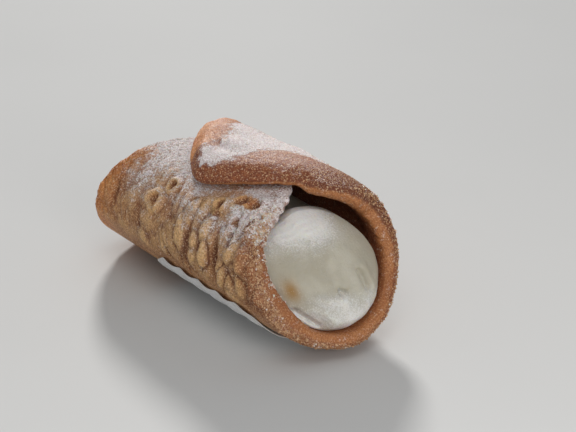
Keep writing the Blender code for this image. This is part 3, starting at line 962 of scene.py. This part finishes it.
def make_cream(mat):
    """The filling, as rings from the middle of the near face to the middle of the far one."""
    polar = np.repeat(np.linspace(0.0, 1.0, CREAM_RINGS + 1), CREAM_AROUND)
    turn = np.tile(np.arange(CREAM_AROUND) * math.tau / CREAM_AROUND - math.pi, CREAM_RINGS + 1)
    from_near = unit(polar / CREAM_FACE)
    from_far = unit((1.0 - polar) / CREAM_FACE)
    share = np.minimum(np.sin(from_near * math.pi / 2.0), np.sin(from_far * math.pi / 2.0))
    body = unit((polar - CREAM_FACE) / (1.0 - 2.0 * CREAM_FACE))
    near, far = cream_length(share, turn)
    along = near * (1.0 - body) - far * body
    r = cream_radius(along, turn) * share
    y = r * np.sin(turn + TURN)
    z = -r * np.cos(turn + TURN) * OVAL
    middle = CREAM_SAG_MIDDLE * fall(along, 22.0, 6.0) * rise(along, -16.0, 6.0)
    sag = CREAM_SAG + CREAM_SAG_LEFT * fall(y, 0.0, 4.0) + middle
    z = z - sag * rise(z, 0.0, TUBE_R * OVAL) * rise(y, -15.0, 6.0)
    front = (1.0 - body) * (polar <= CREAM_FACE)
    folds = cream_front(y, z) * front * fall(share, 1.0, 0.12)
    along = along + folds + (0.10 * uneven(y, z, FOLDS) + 0.05 * uneven(y, z, LUMPS)) * front
    quads = closed_rows(CREAM_RINGS + 1, CREAM_AROUND)[1]
    cream = new_object("cream_filling", stand(along, y, z), quads, mat)
    peel_y, peel_z, half_y, half_z = PEEL
    peel = np.exp(-(((y - peel_y) / half_y) ** 2 + ((z - peel_z) / half_z) ** 2) ** 1.1)
    add_attribute(cream, "peel", peel * front)
    # Sugar on the cream, with painted highlight at its top left
    add_attribute(cream, "dust", cream_sugar_and_highlight(y, z, along))
    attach(cream, "root")
    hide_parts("cream")


def hug(x, z, right, clear):
    """How far out the shell is at a height, so that the paper can lie against it."""
    radius = TUBE_R + clear + 0.3 * right * smooth(z / 8.0) - narrowing(x, 0.0)
    c = (AXIS_Z + x * math.sin(TILT) - z) / (radius * OVAL)
    return radius * np.sqrt(1.0 - unit(c) ** 2)


def case_angles(count):
    """Angles that are evenly spaced along the case's edge."""
    phi = np.linspace(-math.pi, math.pi, 40001)
    c, sn = np.cos(phi), np.sin(phi)
    x = CASE_TOP_X * np.sign(c) * np.abs(c) ** CASE_FULL
    y = TUBE_R * np.sign(sn) * np.abs(sn) ** CASE_FULL
    run = np.concatenate([[0.0], np.cumsum(np.hypot(np.diff(x), np.diff(y)))])
    return np.interp(np.arange(count) / count * run[-1], run, phi)


def case_edge(phi, pleat, k, inset):
    """One closed row of the case: k is 0 at its base and 1 at its top edge."""
    c, sn = np.cos(phi), np.sin(phi)
    side = np.abs(sn) ** CASE_FULL
    end = np.sign(c) * np.abs(c) ** CASE_FULL
    right = rise(sn, -0.1, 0.2)
    low = CASE_FAR + (CASE_NEAR - CASE_FAR) * rise(c, -0.3, 0.6)
    high = CASE_LEFT + (CASE_RIGHT - CASE_LEFT) * right
    z = (low + (high - low) * rise(side, 0.5, 0.45) + 0.3 * side * np.cos(pleat)) * k
    x = (CASE_BASE_X + (CASE_TOP_X - CASE_BASE_X) * k) * end + CASE_MID_X
    y = (CASE_BASE_Y + CASE_FLARE_Y * k) * side
    y = np.maximum(y, hug(x, z, right, CASE_CLEAR - inset) * rise(side, 0.25, 0.35))
    ripple = PLEAT_DEPTH * k * np.sin(pleat)
    place = [x + ripple * c, np.sign(sn) * y + ripple * sn, z - ripple * 0.4 * np.abs(sn)]
    return np.stack(place, -1) + np.array([SHIFT_X, SHIFT_Y, inset * (1.0 - k)])


def make_case(mat):
    """The pleated paper: rows up its outside, then down its inside."""
    count = PLEATS * PLEAT_POINTS
    phi = case_angles(count)
    pleat = PLEATS * math.tau * np.arange(count) / count
    heights = np.linspace(0.0, 1.0, CASE_ROWS)
    rows = [case_edge(phi, pleat, k, 0.0) for k in heights]
    rows += [case_edge(phi, pleat, k, PAPER_INSET) for k in heights[::-1]]
    index, quads = closed_rows(len(rows), count)
    faces = quads.tolist() + [index[0][::-1].tolist(), index[-1].tolist()]
    case = new_object("paper_pleats", np.concatenate(rows), faces, mat)
    case.data.set_sharp_from_angle(angle=CASE_FOLD)
    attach(case, "root")
    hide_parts("paper_case")


CRYSTAL = np.array([(1, 0, 0), (-1, 0, 0), (0, 1, 0), (0, -1, 0), (0, 0, 1), (0, 0, -1)], float)
CRYSTAL_TOP = ((0, 2, 4), (2, 1, 4), (1, 3, 4), (3, 0, 4))
CRYSTAL_BOTTOM = ((2, 0, 5), (1, 2, 5), (3, 1, 5), (0, 3, 5))
CRYSTAL_FACES = np.array(CRYSTAL_TOP + CRYSTAL_BOTTOM)


def spins(rng, count):
    """Seeded rotation matrices, from random quaternions."""
    turn = rng.normal(size=(count, 4))
    turn /= np.linalg.norm(turn, axis=1, keepdims=True)
    w, x, y, z = turn.T
    rows = (
        (1 - 2 * (y * y + z * z), 2 * (x * y - z * w), 2 * (x * z + y * w)),
        (2 * (x * y + z * w), 1 - 2 * (x * x + z * z), 2 * (y * z - x * w)),
        (2 * (x * z - y * w), 2 * (y * z + x * w), 1 - 2 * (x * x + y * y)),
    )
    return np.stack([np.stack(row, -1) for row in rows], 1)


def grains(name, places, sizes, mat, seed):
    """One mesh of many small irregular crystals, each turned its own way."""
    rng = np.random.default_rng(seed)
    count = len(places)
    stretch = rng.uniform(0.6, 1.3, (count, 1, 3))
    dents = rng.uniform(0.75, 1.2, (count, 6, 1))
    local = CRYSTAL[None] * stretch * dents * sizes[:, None, None]
    points = np.einsum("nij,nkj->nki", spins(rng, count), local) + places[:, None]
    faces = CRYSTAL_FACES[None] + 6 * np.arange(count)[:, None, None]
    obj = new_object(name, points.reshape(-1, 3), faces.reshape(-1, 3), mat, False)
    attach(obj, "root")


def scatter(count, seed, weight, lift, tries=12, edge_share=1.0, outer=True):
    """Seeded places on the outer or the inner face, kept where the weight allows."""
    rng = np.random.default_rng(seed)
    x = rng.uniform(-1.0, 1.0, count * tries)
    y = rng.uniform(-1.0, 1.0, count * tries)
    edge = rng.random(count * tries) < edge_share
    y = np.where(edge, 1.0 - rng.random(count * tries) ** 2 * 0.25, y)
    points, s, v, d, height = dough(x, y, outer)[:5]
    aside = 0.004
    px = dough(x + aside, y, outer)[0] - points
    py = dough(x, np.clip(y + aside, -1.2, 0.9999), outer)[0] - points
    normal = np.cross(px, py)
    normal /= (np.linalg.norm(normal, axis=1, keepdims=True) + TINIER) * (1.0 if outer else -1.0)
    keep = rng.random(len(x)) < weight(s, v, d, normal[:, 2], height)
    keep = np.nonzero(keep)[0][:count]
    return points[keep] + normal[keep] * lift, rng.random(len(keep))


def on_rim(s, v, d, up, height):
    """Clumps of sugar along the near edge, most by the tip."""
    tip = fall(s, -36.0, 8.0)
    near = bell(d, 0.40 + 1.6 * tip) * (s < -3.0) * (v > 5.0)
    clumps = smooth(0.45 + 0.9 * uneven(s, v, CRUST))
    return near * (0.22 + 0.68 * tip) * (0.15 + 0.85 * clumps) * (0.12 + 0.88 * fall(s, -30.0, 8.0))


def within_rim(s, v, d, up, height):
    """The same on the inner side of that edge."""
    clumps = smooth(0.55 + 0.9 * uneven(s, v, CRUST))
    return bell(d, 0.8) * fall(s, -20.0, 10.0) * (v > 5.0) * clumps * (0.20 + 0.60 * fall(s, -36.0, 8.0))


def on_flap_edge(s, v, d, up, height):
    """Sugar along the flap's free edge."""
    return bell(d - 1.5, 0.8) * (s > 4.0) * (v > 8.0) * 0.5 * smooth(0.4 + 0.9 * uneven(s, v, CRUST))


def on_dust(s, v, d, up, height):
    """Loose grains where the powdered sugar lies."""
    return dust_share(s, v, d, up, height) ** 2 * 0.35 * open_to_view(s, v) * clear_of_case(s)


def on_crust(s, v, d, up, height):
    """Crumbs of the dough along the near edge and on the flap's band."""
    band = 0.10 * on_flap(s) * fall(d, 8.0, 3.0) * (v > 0.0)
    return bell(d, 0.9) * (v > 6.0) * np.where(s < 0, 0.4 - 0.2 * rise(s, -16.0, 6.0), 0.10) + band


def make_sugar(sugar, crumb):
    """Sugar and crumbs: each scatter gives the places and a dice throw from 0 to 1 for each grain's size."""
    places, dice = scatter(GRAINS_RIM, 5, on_rim, 0.05)
    within, more = scatter(GRAINS_RIM // 2, 7, within_rim, 0.05, outer=False)
    places = np.concatenate([places, within])
    dice = np.concatenate([dice, more])
    grains("sugar_rim", places, 0.08 + 0.22 * dice ** 2.5, sugar, 6)
    places, dice = scatter(GRAINS_FAR_RIM, 15, on_flap_edge, 0.05)
    grains("sugar_edge", places, 0.07 + 0.30 * dice ** 3, sugar, 16)
    places, dice = scatter(GRAINS_DUST, 25, on_dust, 0.02, 20, 0.35)
    grains("sugar_dust", places, 0.04 + 0.06 * dice ** 2, sugar, 26)
    places, dice = scatter(CRUMBS, 35, on_crust, 0.05, 16, 0.8)
    grains("crust_crumbs", places, 0.08 + 0.18 * dice ** 2.5, crumb, 36)


def make_floor():
    side = 3000.0
    points = np.array([(-side, -side, 0), (side, -side, 0), (side, side, 0), (-side, side, 0)], float)
    floor = new_object("floor", points, np.array([(0, 1, 2, 3)]), plate_material(), False)


# Strength of the sky at the horizon and overhead, and the window's light behind the object
SKY_LOW = 0.235
SKY_HIGH = 0.405
SKY_TINT = (0.97, 0.985, 1.0, 1.0)
SUN_POWER = 2.4
SUN_SPREAD = math.radians(9.0)
SUN_TINT = (1.0, 0.985, 0.96)
SUN_AZ = math.radians(149.0)
SUN_EL = math.radians(27.0)


def area_light(name, place_mm, target_mm, size_mm, power, colour):
    light = bpy.data.lights.new(name, "AREA")
    light.shape = "DISK"
    light.size = size_mm * MM
    light.energy = power
    light.color = colour
    obj = bpy.data.objects.new(name, light)
    obj.location = Vector(place_mm) * MM
    obj.rotation_euler = (Vector(target_mm) - Vector(place_mm)).to_track_quat("-Z", "Y").to_euler()
    bpy.context.scene.collection.objects.link(obj)


def direction(az, el):
    return Vector((math.cos(az) * math.cos(el), math.sin(az) * math.cos(el), math.sin(el)))


def make_sky():
    """Even light that is brighter from above."""
    world = bpy.data.worlds.new("studio")
    bpy.context.scene.world = world
    world.use_nodes = True
    nodes, links = world.node_tree.nodes, world.node_tree.links
    coords = nodes.new("ShaderNodeTexCoord")
    split = nodes.new("ShaderNodeSeparateXYZ")
    ramp = nodes.new("ShaderNodeMapRange")
    ramp.inputs["From Min"].default_value = 0.0
    ramp.inputs["From Max"].default_value = 1.0
    ramp.inputs["To Min"].default_value = SKY_LOW
    ramp.inputs["To Max"].default_value = SKY_HIGH
    links.new(coords.outputs["Generated"], split.inputs[0])
    links.new(split.outputs["Z"], ramp.inputs["Value"])
    links.new(ramp.outputs[0], nodes["Background"].inputs["Strength"])
    nodes["Background"].inputs["Color"].default_value = SKY_TINT


def make_window():
    """A low window behind the object."""
    sun = bpy.data.lights.new("window", "SUN")
    sun.energy = SUN_POWER
    sun.angle = SUN_SPREAD
    sun.color = SUN_TINT
    obj = bpy.data.objects.new("window", sun)
    obj.rotation_euler = direction(SUN_AZ, SUN_EL).to_track_quat("Z", "Y").to_euler()
    bpy.context.scene.collection.objects.link(obj)


def make_lights():
    make_sky()
    make_window()
    area_light("ceiling", (170.0, -130.0, 400.0), (10.0, 0.0, 10.0), 260.0, 0.25, (1.0, 0.99, 0.97))
    area_light("front", (300.0, -60.0, 120.0), (20.0, 0.0, 16.0), 160.0, 0.30, (1.0, 0.99, 0.98))


# Camera of the photo: angles, distance in millimetres, its aim before the shift, focal length in pixels
CAM_AZ = math.radians(34.993)
CAM_EL = math.radians(23.583)
CAM_ROLL = math.radians(-1.069)
CAM_DIST = 310.867
CAM_TARGET = (6.172, 9.518, 13.972)
FOCAL_PX = 1592.947
WIDE = 576
SENSOR = 36.0
# Pixel rows of the middle of the fitted view and of the frame
FIT_ROW = 215.0
FRAME_ROW = 216.0


def make_camera():
    back = direction(-CAM_AZ, CAM_EL)
    right = (-back).cross(Vector((0, 0, 1))).normalized()
    up = right.cross(-back)
    side = right * math.cos(CAM_ROLL) + up * math.sin(CAM_ROLL)
    top = up * math.cos(CAM_ROLL) - right * math.sin(CAM_ROLL)
    data = bpy.data.cameras.new("photo_camera")
    cam = bpy.data.objects.new("photo_camera", data)
    bpy.context.scene.collection.objects.link(cam)
    matrix = Matrix((side, top, back)).transposed().to_4x4()
    matrix.translation = (Vector(CAM_TARGET) + Vector((SHIFT_X, SHIFT_Y, 0.0)) + back * CAM_DIST) * MM
    cam.matrix_world = matrix
    data.sensor_width = SENSOR
    data.lens = FOCAL_PX / WIDE * SENSOR
    data.shift_y = (FIT_ROW - FRAME_ROW) / WIDE
    data.clip_start = 0.01
    bpy.context.scene.camera = cam


def main():
    make_shell(dough_material())
    make_cream(cream_material())
    make_case(paper_material())
    make_sugar(sugar_material(), crumb_material())
    make_floor()
    make_lights()
    make_camera()
    scene = bpy.context.scene
    scene.view_settings.view_transform = "Standard"
    scene.view_settings.look = "None"


main()
